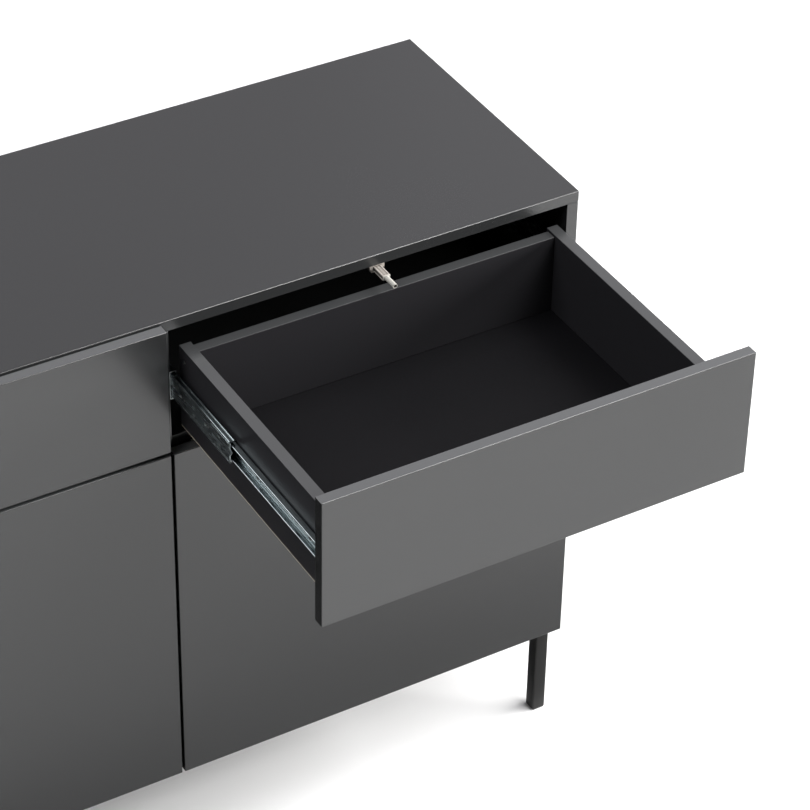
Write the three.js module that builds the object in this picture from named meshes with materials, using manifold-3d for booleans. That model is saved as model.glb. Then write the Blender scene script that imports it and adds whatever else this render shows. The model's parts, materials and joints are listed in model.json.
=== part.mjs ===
// Sideboard on four legs: two drawers over two doors, handleless, opened by push latches.
// Millimetres, +Z up. Inside the cabinet group x runs to the right from the middle of the
// front, y runs back from the carcass's front edges, and z runs up from the floor.
import * as THREE from 'three';
import { mergeVertices } from 'three/addons/utils/BufferGeometryUtils.js';
import Module from 'manifold-3d';

const wasm = await Module();
wasm.setup();

// ---------------------------------------------------------------- driving dimensions

// Boards and fits
const board = 16;            // carcass, shelf and drawer box board
const frontBoard = 16;       // drawer fronts and doors
const backBoard = 3;         // cabinet back
const floorBoard = 3;        // drawer floor
const fit = 0.3;             // gap between two faces that touch

// Cabinet
const frontWidth = 593;      // one drawer front or door
const columnGap = 4;         // between the two columns of fronts
const rowGap = 5;            // between a drawer front and the door under it
const drawerFrontHeight = 183;
const doorHeight = 538;
const topReveal = 3;         // the drawer front's top edge lies this far under the top's face
const topOverhang = 1;       // top past the side panel's outer face
const frontGap = 1.5;        // between the carcass's front edges and the back of the fronts
const backInset = 12;        // back panel's rear face, in from the carcass's rear edges
const grooveDepth = 8;       // groove that holds the back panel

// Legs
const legHeight = 165;
const legWidth = 20;
const legSideInset = 4;      // from the top's end
const legFrontInset = 6;     // from the carcass's front and rear edges
const legPlate = 70;         // square screw-on plate
const legPlateThickness = 3;
const legPlugHeight = 3;     // plastic plug that shows under the tube
const legPlugStep = 0.6;     // the plug is this much narrower than the tube, on each face

// Drawer box
const boxDrop = 39;          // box side's top edge, under the front's top edge
const boxHeight = 122;
const boxLength = 377;
const boxRearGap = 39.2;     // between the box's rear end and the cabinet's back panel
const boxBackInset = 4.5;    // back board, in from the rear ends of the sides
const boxBackDrop = 2.4;     // back board's top, under the sides' tops
const boxFloorLift = 2.5;    // floor's lower face, over the sides' lower edges
const boxGroove = 5;         // depth of the grooves that hold the floor
const boxScrewHole = 7;      // bore for the screw head in the side's outer face
const boxScrewSink = 2;
const boxScrewDrop = 18;     // below the side's top edge
const drawerTravel = 375;

// Telescopic slides
const slideThickness = 13.4;
const slideHeight = 42;
const slideSetback = 2;      // member ends behind the carcass's front edges, drawer closed
const slideRearInset = 1.8;  // slide's rear end, in from the box's rear end
const slideLift = 3;         // slide's centre line, over the box side's mid-height
const sheet = 1.2;           // steel sheet of the slide members
const runnerShortfall = 12;  // the middle member is this much shorter than the slide
const runnerHeight = 33;
const runnerTravel = 152;    // middle member's travel while the drawer opens fully
const innerHeight = 23;      // drawer member
const memberGap = 0.9;       // between a member's web and the next member's
const memberBend = 1.6;      // corner bend of a slide member
const ribDepth = 1.6;        // stiffening rib pressed in the drawer member's web
const ribHeight = 8;

// Push latches
const latchWidth = 16;
const latchHeight = 10;
const latchSetback = 1;      // latch's cross flange behind the front edge of its board
const latchFlangeWidth = 21;
const latchFlangeHeight = 6;
const latchFlangeThickness = 3;
const carriageWidth = 10;
const carriageHeight = 7;
const carriageLength = 48;
const latchRearWall = 3;     // housing's wall behind the carriage
const carriageClearance = 0.4;
const carriageRail = 1.6;    // rail left on both sides of a channel
const topChannel = 0.8;      // depth of the channel along the carriage's top
const topRib = 2.4;          // width of the rib along the middle of that channel
const topRibStep = 0.3;      // rib's top, under the rails
const sideChannel = 2;       // depth of the channels along the carriage's sides
const noseDiameter = 6.6;
const noseLength = 21;
const noseRoot = 2;          // nose's end inside the carriage's front wall
const noseRecess = 3.6;      // square recess in the nose's tip
const noseRecessDepth = 6;
const latchReach = 44;       // nose's tip in front of the carcass when it has sprung out
const doorLatchInset = 42;   // door latch's centre line, from the partition's face

// Concealed hinges
const hingeEndInset = 90;    // hinge's centre line, from the door's top and bottom edges
const cupDiameter = 35;
const cupDepth = 12;
const cupEdge = 5;           // wood left between the cup and the door's edge
const cupWall = 1.6;
const cupFlangeWidth = 15;
const cupFlangeLength = 56;
const cupFlangeThickness = 1;
const armHeight = 20;
const armThickness = 8;      // of the plate on the side panel
const armBack = 84;          // rear end of the mounting plate, behind the front edge
const armPlateFront = 22;    // front end of the mounting plate
const armNoseWidth = 7;
const linkPivotIn = 7;       // link's pivot, in from the side panel's inner face
const linkPivotBack = 2.5;   // link's pivot, behind the front edge
const linkLength = 13.6;
const linkAngle = 65;        // degrees, from the door's plane with the door closed
const linkWidth = 4;
const linkHeight = 11;
const linkSlack = 0.5;
const pinDiameter = 2;       // link's pin, through both ears of the arm's nose
const pinClearance = 0.2;

// Shelves
const shelfClearance = 1;    // adjustable shelf, at each end
const shelfSetback = 20;     // adjustable shelf's front edge, behind the carcass's front edges
const fixedShelfSetback = 6; // fixed shelf's front edge, likewise
const shelfPin = 5;          // diameter of the pins under the adjustable shelf
const shelfPinReach = 9;     // out of the panel that holds the pin
const shelfPinInset = 37;    // from the shelf's front and rear edges

const roundSegments = 32;

// ---------------------------------------------------------------- sizes that follow

const totalWidth = 2 * frontWidth + columnGap;
const halfWidth = totalWidth / 2;
const columnEdge = columnGap / 2;               // a front's inner edge, from the middle
const underside = legHeight;                    // body's lower face
const doorTop = underside + doorHeight;
const drawerFrontBottom = doorTop + rowGap;
const drawerFrontTop = drawerFrontBottom + drawerFrontHeight;
const topFace = drawerFrontTop + topReveal;
const topUnder = topFace - board;
const bottomTop = underside + board;
const sideOuter = halfWidth - topOverhang;
const sideInner = sideOuter - board;
const partitionHalf = board / 2;
const shelfMiddle = doorTop + rowGap / 2;       // fixed shelf lies behind the gap
const shelfTop = shelfMiddle + board / 2;
const shelfUnder = shelfMiddle - board / 2;
const adjustableTop = (bottomTop + shelfUnder + board) / 2;   // halfway up the door's compartment
const adjustableUnder = adjustableTop - board;
const frontBack = -frontGap;                    // back face of the fronts
const frontFace = frontBack - frontBoard;
const boxFront = frontBack + fit;
const boxRear = boxFront + boxLength;
const backFront = boxRear + boxRearGap;
const backRear = backFront + backBoard;
const insideRear = backFront - fit;             // rear edge of shelves and partition
const carcassDepth = backRear + backInset;
const latchTip = frontBack + fit;               // a latch's tip while its front is shut

// The box between the slides
const boxInnerX = partitionHalf + slideThickness + 2 * fit;
const boxOuterX = sideInner - slideThickness - 2 * fit;
const boxTop = drawerFrontTop - boxDrop;
const boxBottom = boxTop - boxHeight;
const boxFloorUnder = boxBottom + boxFloorLift;
const boxFloorTop = boxFloorUnder + floorBoard;
const boxBackRear = boxRear - boxBackInset;
const boxBackFront = boxBackRear - board;
const slideMiddle = (boxTop + boxBottom) / 2 + slideLift;
const slideRear = boxRear - slideRearInset;

// The object's whole reach, front to rear, with the right drawer drawn out
const frontReach = frontFace - drawerTravel;
const originY = (frontReach + carcassDepth) / 2;

// ---------------------------------------------------------------- materials

const lacquer = new THREE.MeshStandardMaterial({ color: 0x4b4c4e, roughness: 0.45, metalness: 0 });
const boxLacquer = new THREE.MeshStandardMaterial({ color: 0x3a3b3d, roughness: 0.5, metalness: 0 });
const floorSheet = new THREE.MeshStandardMaterial({ color: 0x2c2d2f, roughness: 0.6, metalness: 0 });
const backSheet = new THREE.MeshStandardMaterial({ color: 0x3d3e40, roughness: 0.7, metalness: 0 });
const zinc = new THREE.MeshStandardMaterial({ color: 0x9fa6a6, roughness: 0.3, metalness: 1 });
const nickel = new THREE.MeshStandardMaterial({ color: 0xb4b2ac, roughness: 0.25, metalness: 1 });
const legSteel = new THREE.MeshStandardMaterial({ color: 0x1d1d1e, roughness: 0.5, metalness: 0.2 });
const latchPlastic = new THREE.MeshStandardMaterial({ color: 0xb0a8a0, roughness: 0.5, metalness: 0 });
const nosePlastic = new THREE.MeshStandardMaterial({ color: 0xc4bcb4, roughness: 0.45, metalness: 0 });

// ---------------------------------------------------------------- geometry helpers

// A closed geometry as a solid, ready for cutting and joining
function solid(geometry) {
  const bare = geometry.clone();
  bare.deleteAttribute('normal');
  bare.deleteAttribute('uv');
  const merged = mergeVertices(bare, 1e-4);
  const vertProperties = new Float32Array(merged.attributes.position.array);
  const triVerts = new Uint32Array(merged.index.array);
  return new wasm.Manifold(new wasm.Mesh({ numProp: 3, vertProperties, triVerts }));
}

// A solid back as a geometry with flat faces
function geometryOf(shape) {
  const { numProp, vertProperties, triVerts } = shape.getMesh();
  const positions = new Float32Array(3 * (vertProperties.length / numProp));
  for (let i = 0; i < vertProperties.length / numProp; i += 1) {
    positions.set(vertProperties.subarray(i * numProp, i * numProp + 3), 3 * i);
  }
  const geometry = new THREE.BufferGeometry();
  geometry.setAttribute('position', new THREE.BufferAttribute(positions, 3));
  geometry.setIndex(new THREE.BufferAttribute(new Uint32Array(triVerts), 1));
  const flat = geometry.toNonIndexed();
  flat.computeVertexNormals();
  return flat;
}

// A block from its two limits along each axis, given in either order
function block(x, y, z) {
  const size = [x, y, z].map(([a, b]) => Math.abs(b - a));
  const middle = [x, y, z].map(([a, b]) => (a + b) / 2);
  return new THREE.BoxGeometry(...size).translate(...middle);
}

function outline(points) {
  return new THREE.Shape(points.map(([a, b]) => new THREE.Vector2(a, b)));
}

// An outline in x and y, raised along z
function raised(points, [low, high]) {
  const geometry = new THREE.ExtrudeGeometry(outline(points), { depth: high - low, bevelEnabled: false });
  return geometry.translate(0, 0, low);
}

// An outline in x and z, drawn out along y
function drawnOut(points, [front, rear]) {
  const geometry = new THREE.ExtrudeGeometry(outline(points), { depth: rear - front, bevelEnabled: false });
  return geometry.rotateX(Math.PI / 2).translate(0, rear, 0);
}

// A cylinder along y from its front end to its rear end
function rodY(diameter, x, [front, rear], z) {
  const geometry = new THREE.CylinderGeometry(diameter / 2, diameter / 2, rear - front, roundSegments);
  return geometry.translate(x, (front + rear) / 2, z);
}

// A cylinder along z from its low end to its high end
function rodZ(diameter, x, y, [low, high]) {
  const geometry = new THREE.CylinderGeometry(diameter / 2, diameter / 2, high - low, roundSegments);
  return geometry.rotateX(Math.PI / 2).translate(x, y, (low + high) / 2);
}

// A cylinder along x between two limits given in either order
function rodX(diameter, [a, b], y, z) {
  const geometry = new THREE.CylinderGeometry(diameter / 2, diameter / 2, Math.abs(b - a), roundSegments);
  return geometry.rotateZ(Math.PI / 2).translate((a + b) / 2, y, z);
}

// A named mesh whose own origin is the middle of its box
function piece(name, geometry, material) {
  geometry.computeBoundingBox();
  const middle = geometry.boundingBox.getCenter(new THREE.Vector3());
  const mesh = new THREE.Mesh(geometry.clone().translate(-middle.x, -middle.y, -middle.z), material);
  mesh.name = name;
  mesh.position.copy(middle);
  return mesh;
}

// The same limits on the left (side -1) or right (side 1) of the middle
function mirrored(side, [a, b]) {
  return [side * a, side * b];
}

const columns = [
  { column: 'left', side: -1 },
  { column: 'right', side: 1 },
];

// ---------------------------------------------------------------- carcass

// The groove for the back panel, as a block to cut away
function backGroove(x, z) {
  return solid(block(x, [backFront - fit, backRear + fit], z));
}

// Adds the two pins pressed into a panel's face under an adjustable shelf
function withShelfPins(panel, faceX, outwards) {
  const x = [faceX - outwards * board / 2, faceX + outwards * shelfPinReach];
  const z = adjustableUnder - fit - shelfPin / 2;
  const places = [shelfSetback + shelfPinInset, insideRear - shelfPinInset];
  return places.reduce((joined, y) => joined.add(solid(rodX(shelfPin, x, y, z))), panel);
}

function topPanel() {
  const panel = solid(block([-halfWidth, halfWidth], [0, carcassDepth], [topUnder, topFace]));
  const grooveEnd = sideInner + grooveDepth;
  const groove = backGroove([-grooveEnd, grooveEnd], [topUnder - fit, topUnder + grooveDepth]);
  return piece('top_panel', geometryOf(panel.subtract(groove)), lacquer);
}

function sidePanel({ column, side }) {
  const z = [underside, topUnder - fit];
  const panel = solid(block(mirrored(side, [sideInner, sideOuter]), [0, carcassDepth], z));
  const grooveX = mirrored(side, [sideInner - fit, sideInner + grooveDepth]);
  const groove = backGroove(grooveX, [underside - fit, topUnder]);
  const pinned = withShelfPins(panel.subtract(groove), side * sideInner, -side);
  return piece(`${column}_side_panel`, geometryOf(pinned), lacquer);
}

function bottomPanel() {
  const reach = sideInner - fit;
  const panel = solid(block([-reach, reach], [0, carcassDepth], [underside, bottomTop]));
  const groove = backGroove([-sideOuter, sideOuter], [bottomTop - grooveDepth, bottomTop + fit]);
  return piece('bottom_panel', geometryOf(panel.subtract(groove)), lacquer);
}

function backPanel() {
  const reach = sideInner + grooveDepth - fit;
  const z = [bottomTop - grooveDepth + fit, topUnder + grooveDepth - fit];
  return piece('back_panel', block([-reach, reach], [backFront, backRear], z), backSheet);
}

function centrePartition() {
  const z = [bottomTop + fit, topUnder - fit];
  const panel = solid(block([-partitionHalf, partitionHalf], [0, insideRear], z));
  const pinned = withShelfPins(withShelfPins(panel, -partitionHalf, -1), partitionHalf, 1);
  return piece('centre_partition', geometryOf(pinned), lacquer);
}

function fixedShelf({ column, side }) {
  const x = mirrored(side, [partitionHalf + fit, sideInner - fit]);
  const y = [fixedShelfSetback, insideRear];
  return piece(`${column}_fixed_shelf`, block(x, y, [shelfUnder, shelfTop]), lacquer);
}

function adjustableShelf({ column, side }) {
  const x = mirrored(side, [partitionHalf + shelfClearance, sideInner - shelfClearance]);
  const z = [adjustableUnder, adjustableTop];
  return piece(`${column}_adjustable_shelf`, block(x, [shelfSetback, insideRear], z), lacquer);
}

// ---------------------------------------------------------------- legs

// A square tube welded under a screw-on plate, closed by a plug at its foot
function leg({ column, side }, { row, front }) {
  const outerX = halfWidth - legSideInset;
  const outerY = front ? legFrontInset : carcassDepth - legFrontInset;
  const inwards = front ? 1 : -1;
  const plateTop = underside - fit;
  const plateX = mirrored(side, [outerX, outerX - legPlate]);
  const plateY = [outerY, outerY + inwards * legPlate];
  const tubeX = mirrored(side, [outerX, outerX - legWidth]);
  const tubeY = [outerY, outerY + inwards * legWidth];
  const plugX = mirrored(side, [outerX - legPlugStep, outerX - legWidth + legPlugStep]);
  const plugY = [outerY + inwards * legPlugStep, outerY + inwards * (legWidth - legPlugStep)];
  const plate = solid(block(plateX, plateY, [plateTop - legPlateThickness, plateTop]));
  const tube = solid(block(tubeX, tubeY, [legPlugHeight, plateTop]));
  const plug = solid(block(plugX, plugY, [0, 2 * legPlugHeight]));
  return piece(`${row}_${column}_leg`, geometryOf(plate.add(tube).add(plug)), legSteel);
}

// ---------------------------------------------------------------- telescopic slides

// Channel of bent sheet, in x and z: its web stands at webX, and its flanges run to tipX
function channelOutline(webX, tipX, height) {
  const inward = Math.sign(tipX - webX);
  const half = height / 2;
  const innerWebX = webX + inward * sheet;
  const bendX = webX + inward * memberBend;
  const innerBendX = webX + inward * (sheet + memberBend / 2);
  const inner = half - sheet;
  const upper = [
    [webX, half - memberBend],
    [bendX, half],
    [tipX, half],
    [tipX, inner],
    [innerBendX, inner],
    [innerWebX, inner - memberBend / 2],
  ];
  const lower = upper.map(([x, z]) => [x, -z]).reverse();
  return [...upper, ...lower];
}

// The drawer member's channel, with a rib pressed out of its web towards the open side
function ribbedOutline(webX, tipX, height) {
  const inward = Math.sign(tipX - webX);
  const ribX = webX + inward * ribDepth;
  const innerRibX = ribX + inward * sheet;
  const innerWebX = webX + inward * sheet;
  const halfRib = ribHeight / 2;
  const points = channelOutline(webX, tipX, height);
  const inside = [
    [innerWebX, halfRib + ribDepth],
    [innerRibX, halfRib],
    [innerRibX, -halfRib],
    [innerWebX, -halfRib - ribDepth],
  ];
  const outside = [
    [webX, -halfRib - ribDepth],
    [ribX, -halfRib],
    [ribX, halfRib],
    [webX, halfRib + ribDepth],
  ];
  const upperCount = points.length / 2;
  return [...points.slice(0, upperCount), ...inside, ...points.slice(upperCount), ...outside];
}

// One slide of three members; away is 1 or -1, from the cabinet's face towards the box
function slide(name, cabinetX, away) {
  const boxX = cabinetX + away * slideThickness;
  const runnerWebX = cabinetX + away * (sheet + memberGap);
  const cabinetTipX = boxX - away * (sheet + memberGap + memberBend);
  const runnerTipX = boxX - away * (sheet + memberGap);
  const innerTipX = runnerWebX + away * (sheet + memberGap);
  const lift = (points) => points.map(([x, z]) => [x, z + slideMiddle]);
  const outer = lift(channelOutline(cabinetX, cabinetTipX, slideHeight));
  const middle = lift(channelOutline(runnerWebX, runnerTipX, runnerHeight));
  const inner = lift(ribbedOutline(boxX, innerTipX, innerHeight));
  const y = [slideSetback, slideRear];
  const runnerY = [slideSetback, slideRear - runnerShortfall];
  return {
    fixed: piece(`${name}_cabinet_member`, drawnOut(outer, y), zinc),
    middle: piece(`${name}_middle_member`, drawnOut(middle, runnerY), zinc),
    moving: piece(`${name}_drawer_member`, drawnOut(inner, y), zinc),
  };
}

// ---------------------------------------------------------------- drawers

// Box side on one end of the drawer, with the floor's groove and a bore for the rear screw
function boxSide(name, outerX, inwards) {
  const innerX = outerX + inwards * board;
  const side = solid(block([outerX, innerX], [boxFront, boxRear], [boxBottom, boxTop]));
  const grooveX = [innerX - inwards * boxGroove, innerX + inwards * fit];
  const grooveZ = [boxFloorUnder - fit, boxFloorTop + fit];
  const groove = solid(block(grooveX, [boxFront - fit, boxRear + fit], grooveZ));
  const boreX = [outerX - inwards * fit, outerX + inwards * boxScrewSink];
  const bore = rodX(boxScrewHole, boreX, (boxBackFront + boxBackRear) / 2, boxTop - boxScrewDrop);
  return piece(name, geometryOf(side.subtract(groove).subtract(solid(bore))), boxLacquer);
}

function drawerFront(name, side) {
  const x = mirrored(side, [columnEdge, halfWidth]);
  const front = solid(block(x, [frontFace, frontBack], [drawerFrontBottom, drawerFrontTop]));
  const grooveX = mirrored(side, [boxInnerX + board - boxGroove, boxOuterX - board + boxGroove]);
  const grooveZ = [boxFloorUnder - fit, boxFloorTop + fit];
  const groove = solid(block(grooveX, [frontBack - boxGroove, frontBack + fit], grooveZ));
  return piece(name, geometryOf(front.subtract(groove)), lacquer);
}

function boxBack(name, side) {
  const x = mirrored(side, [boxInnerX + board + fit, boxOuterX - board - fit]);
  const z = [boxFloorTop + fit, boxTop - boxBackDrop];
  return piece(name, block(x, [boxBackFront, boxBackRear], z), boxLacquer);
}

function boxFloor(name, side) {
  const reach = boxGroove - fit;
  const x = mirrored(side, [boxInnerX + board - reach, boxOuterX - board + reach]);
  const y = [frontBack - reach, boxBackRear];
  return piece(name, block(x, y, [boxFloorUnder, boxFloorTop]), floorSheet);
}

// A drawer with its slides: what stays on the cabinet, the middle members and what moves fully
function drawer({ column, side }) {
  const name = `${column}_drawer`;
  const [leftEnd, rightEnd] = side > 0 ? ['left', 'right'] : ['right', 'left'];
  const innerSlide = slide(`${name}_${leftEnd}_slide`, side * (partitionHalf + fit), side);
  const outerSlide = slide(`${name}_${rightEnd}_slide`, side * (sideInner - fit), -side);
  const box = [
    drawerFront(`${name}_front`, side),
    boxSide(`${name}_${leftEnd}_side`, side * boxInnerX, side),
    boxSide(`${name}_${rightEnd}_side`, side * boxOuterX, -side),
    boxBack(`${name}_back`, side),
    boxFloor(`${name}_floor`, side),
  ];
  return {
    fixed: [innerSlide.fixed, outerSlide.fixed],
    middle: [innerSlide.middle, outerSlide.middle],
    moving: [...box, innerSlide.moving, outerSlide.moving],
  };
}

// ---------------------------------------------------------------- push latches

// Housing under a board: a block with a well open to the front, and a cross flange
function latchHousing(name, x, boardUnder, boardFront) {
  const top = boardUnder - fit;
  const axisZ = top - latchHeight / 2;
  const front = boardFront + latchSetback;
  const halfWell = carriageWidth / 2 + carriageClearance;
  const halfWellHeight = carriageHeight / 2 + carriageClearance;
  const wellRear = latchTip + noseLength + carriageLength + carriageClearance;
  const bodyX = [x - latchWidth / 2, x + latchWidth / 2];
  const flangeX = [x - latchFlangeWidth / 2, x + latchFlangeWidth / 2];
  const flangeY = [front, front + latchFlangeThickness];
  const body = solid(block(bodyX, [front, wellRear + latchRearWall], [top - latchHeight, top]));
  const flange = solid(block(flangeX, flangeY, [top - latchFlangeHeight, top]));
  const wellX = [x - halfWell, x + halfWell];
  const wellZ = [axisZ - halfWellHeight, axisZ + halfWellHeight];
  const well = solid(block(wellX, [front - fit, wellRear], wellZ));
  return piece(`${name}_housing`, geometryOf(body.add(flange).subtract(well)), latchPlastic);
}

// Plunger: a flat carriage with channels along its faces, and a round nose with a hollow tip
function latchPlunger(name, x, boardUnder) {
  const axisZ = boardUnder - fit - latchHeight / 2;
  const carriageFront = latchTip + noseLength;
  const carriageRear = carriageFront + carriageLength;
  const half = carriageWidth / 2;
  const top = axisZ + carriageHeight / 2;
  const carriageZ = [top - carriageHeight, top];
  const carriage = solid(block([x - half, x + half], [carriageFront, carriageRear], carriageZ));
  const nose = solid(rodY(noseDiameter, x, [latchTip, carriageFront + noseRoot], axisZ));
  const length = [carriageFront + carriageRail, carriageRear + fit];
  const topX = [x - half + carriageRail, x + half - carriageRail];
  const sideZ = [top - carriageHeight + carriageRail, top - carriageRail];
  const recessX = [x - noseRecess / 2, x + noseRecess / 2];
  const recessY = [latchTip - fit, latchTip + noseRecessDepth];
  const recessZ = [axisZ - noseRecess / 2, axisZ + noseRecess / 2];
  const cuts = [
    block(topX, length, [top - topChannel, top + fit]),
    block([x - half - fit, x - half + sideChannel], length, sideZ),
    block([x + half - sideChannel, x + half + fit], length, sideZ),
    block(recessX, recessY, recessZ),
  ];
  const ribX = [x - topRib / 2, x + topRib / 2];
  const ribY = [carriageFront + carriageRail - fit, carriageRear];
  const rib = solid(block(ribX, ribY, [top - topChannel - fit, top - topRibStep]));
  const plunger = cuts.reduce((left, cut) => left.subtract(solid(cut)), carriage.add(nose)).add(rib);
  return piece(`${name}_plunger`, geometryOf(plunger), nosePlastic);
}

// ---------------------------------------------------------------- doors and hinges

const cupCentre = cupEdge + cupDiameter / 2;

function hingeHeights() {
  return [
    { level: 'upper', z: doorTop - hingeEndInset },
    { level: 'lower', z: underside + hingeEndInset },
  ];
}

function door({ column, side }) {
  const x = mirrored(side, [columnEdge, halfWidth]);
  const panel = solid(block(x, [frontFace, frontBack], [underside, doorTop]));
  const bores = hingeHeights().map(({ z }) => {
    const y = [frontBack - cupDepth, frontBack + fit];
    return solid(rodY(cupDiameter, side * (halfWidth - cupCentre), y, z));
  });
  const bored = bores.reduce((left, bore) => left.subtract(bore), panel);
  return piece(`${column}_door`, geometryOf(bored), lacquer);
}

// Hinge cup in the door, with a flange on the door's back face
function hingeCup({ column, side }, { level, z }) {
  const x = side * (halfWidth - cupCentre);
  const outer = cupDiameter - 2 * fit;
  const floorY = frontBack - cupDepth + fit;
  const flangeY = [frontBack + fit, frontBack + fit + cupFlangeThickness];
  const shell = solid(rodY(outer, x, [floorY, flangeY[1]], z));
  const flangeX = [x - cupFlangeWidth / 2, x + cupFlangeWidth / 2];
  const flangeZ = [z - cupFlangeLength / 2, z + cupFlangeLength / 2];
  const flange = solid(block(flangeX, flangeY, flangeZ));
  const hollow = solid(rodY(outer - 2 * cupWall, x, [floorY + cupWall, flangeY[1] + fit], z));
  const cup = shell.add(flange).subtract(hollow);
  return piece(`${column}_door_${level}_hinge_cup`, geometryOf(cup), nickel);
}

// Hinge arm: a plate on the side panel and a forked nose that holds the link's pivot
function hingeArm({ column, side }, { level, z }) {
  const faceX = sideInner - fit;
  const pivotX = sideInner - linkPivotIn;
  const noseHalf = armNoseWidth / 2;
  const points = [
    [faceX, armPlateFront],
    [faceX, armBack],
    [faceX - armThickness, armBack],
    [faceX - armThickness, armPlateFront],
    [pivotX - noseHalf, armPlateFront - armThickness],
    [pivotX - noseHalf, linkPivotBack - noseHalf + fit],
    [pivotX + noseHalf, linkPivotBack - noseHalf + fit],
    [pivotX + noseHalf, armPlateFront - armThickness],
  ].map(([x, y]) => [side * x, y]);
  const height = [z - armHeight / 2, z + armHeight / 2];
  const arm = solid(raised(points, height));
  const slotHalf = linkHeight / 2 + linkSlack;
  const slotRear = linkPivotBack + linkWidth + linkSlack;
  const slotX = mirrored(side, [pivotX - armNoseWidth, pivotX + armNoseWidth]);
  const slot = solid(block(slotX, [-armNoseWidth, slotRear], [z - slotHalf, z + slotHalf]));
  const pinEnds = [z - slotHalf - fit, z + slotHalf + fit];
  const pin = solid(rodZ(pinDiameter, side * pivotX, linkPivotBack, pinEnds));
  return piece(`${column}_door_${level}_hinge_arm`, geometryOf(arm.subtract(slot).add(pin)), nickel);
}

// Link between the arm's pivot and the cup, with round ends
function hingeLink({ column, side }, { level, z }) {
  const pivot = new THREE.Vector2(sideInner - linkPivotIn, linkPivotBack);
  const angle = THREE.MathUtils.degToRad(linkAngle);
  const along = new THREE.Vector2(-Math.cos(angle), -Math.sin(angle));
  const steps = roundSegments / 2;
  const points = [];
  for (const [end, start] of [[0, 0], [linkLength - linkWidth / 2, Math.PI]]) {
    for (let i = 0; i <= steps; i += 1) {
      const turn = start + (Math.PI * i) / steps + Math.PI / 2;
      const u = end + (linkWidth / 2) * Math.cos(turn);
      const v = (linkWidth / 2) * Math.sin(turn);
      points.push([side * (pivot.x + u * along.x - v * along.y), pivot.y + u * along.y + v * along.x]);
    }
  }
  const link = solid(raised(points, [z - linkHeight / 2, z + linkHeight / 2]));
  const eyeDiameter = pinDiameter + 2 * pinClearance;
  const eye = solid(rodZ(eyeDiameter, side * pivot.x, pivot.y, [z - linkHeight, z + linkHeight]));
  return piece(`${column}_door_${level}_hinge_link`, geometryOf(link.subtract(eye)), nickel);
}

// ---------------------------------------------------------------- assembly

const cabinet = new THREE.Group();
cabinet.position.y = -originY;
cabinet.add(topPanel(), bottomPanel(), backPanel(), centrePartition());

const legRows = [
  { row: 'front', front: true },
  { row: 'rear', front: false },
];

for (const place of columns) {
  const { column, side } = place;
  cabinet.add(sidePanel(place), fixedShelf(place), adjustableShelf(place));
  for (const legRow of legRows) {
    cabinet.add(leg(place, legRow));
  }

  // The right drawer stands open: its parts move out together, the middle members less far
  const drawn = side > 0;
  const box = new THREE.Group();
  const runners = new THREE.Group();
  const drawerLatch = new THREE.Group();
  const { fixed, middle, moving } = drawer(place);
  box.add(...moving);
  runners.add(...middle);
  const latchX = side * (columnEdge + frontWidth / 2);
  drawerLatch.add(latchPlunger(`${column}_drawer_latch`, latchX, topUnder));
  box.position.y = drawn ? -drawerTravel : 0;
  runners.position.y = drawn ? -runnerTravel : 0;
  drawerLatch.position.y = drawn ? -(latchReach + latchTip) : 0;
  cabinet.add(...fixed, runners, box, drawerLatch);
  cabinet.add(latchHousing(`${column}_drawer_latch`, latchX, topUnder, 0));

  const doorLatchX = side * (partitionHalf + doorLatchInset);
  cabinet.add(latchHousing(`${column}_door_latch`, doorLatchX, shelfUnder, fixedShelfSetback));
  cabinet.add(latchPlunger(`${column}_door_latch`, doorLatchX, shelfUnder));
  cabinet.add(door(place));
  for (const hinge of hingeHeights()) {
    cabinet.add(hingeCup(place, hinge), hingeArm(place, hinge), hingeLink(place, hinge));
  }
}

const sideboard = new THREE.Group();
sideboard.add(cabinet);

export default sideboard;
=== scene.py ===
# %% [markdown]
# # A graphite sideboard, dressed for the camera
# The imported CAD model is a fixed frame: every board, slide, latch, hinge and leg is already
# there at its full size. This lesson gives each of them the looks of the real one. A board
# gets its softened edges, a slide its bent and punched steel, a leg its rounded tube, and
# every surface a material that is built from nodes.

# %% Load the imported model
import bpy
import bmesh
import json
import math
from mathutils import Matrix, Vector


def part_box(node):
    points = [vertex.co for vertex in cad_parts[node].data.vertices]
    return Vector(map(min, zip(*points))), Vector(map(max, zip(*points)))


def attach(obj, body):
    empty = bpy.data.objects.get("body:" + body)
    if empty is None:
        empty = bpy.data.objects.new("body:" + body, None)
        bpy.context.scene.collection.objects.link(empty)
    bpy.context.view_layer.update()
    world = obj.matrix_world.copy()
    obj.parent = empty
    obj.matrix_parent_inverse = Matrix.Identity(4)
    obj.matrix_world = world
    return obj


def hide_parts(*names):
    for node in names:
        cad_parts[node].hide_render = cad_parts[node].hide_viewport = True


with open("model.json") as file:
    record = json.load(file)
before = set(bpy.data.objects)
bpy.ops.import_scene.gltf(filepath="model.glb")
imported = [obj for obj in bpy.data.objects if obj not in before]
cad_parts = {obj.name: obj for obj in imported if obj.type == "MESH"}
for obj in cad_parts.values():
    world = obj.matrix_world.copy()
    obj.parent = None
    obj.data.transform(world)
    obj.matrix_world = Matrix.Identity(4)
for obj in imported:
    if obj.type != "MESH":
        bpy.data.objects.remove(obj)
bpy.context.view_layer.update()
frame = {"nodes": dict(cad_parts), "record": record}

scene = bpy.context.scene
mm = 0.001
columns = ("left", "right")

# %% [markdown]
# ## The camera
# A long lens far from the cabinet keeps the boards' edges nearly parallel. The camera stands in
# front, to the left and well above the top, so that the open drawer, its slide and its latch
# are all seen at once. The lens is given in image widths, whatever the sensor, and the last
# turn is a slight roll about the line of sight.

# %% Place the camera
camera_place = Vector((-1.3355, -2.8289, 3.1347))
camera_turn = math.radians(30.839)
camera_tilt = math.radians(37.278)
camera_roll = math.radians(1.17)
lens_in_widths = 3.9314506


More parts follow.
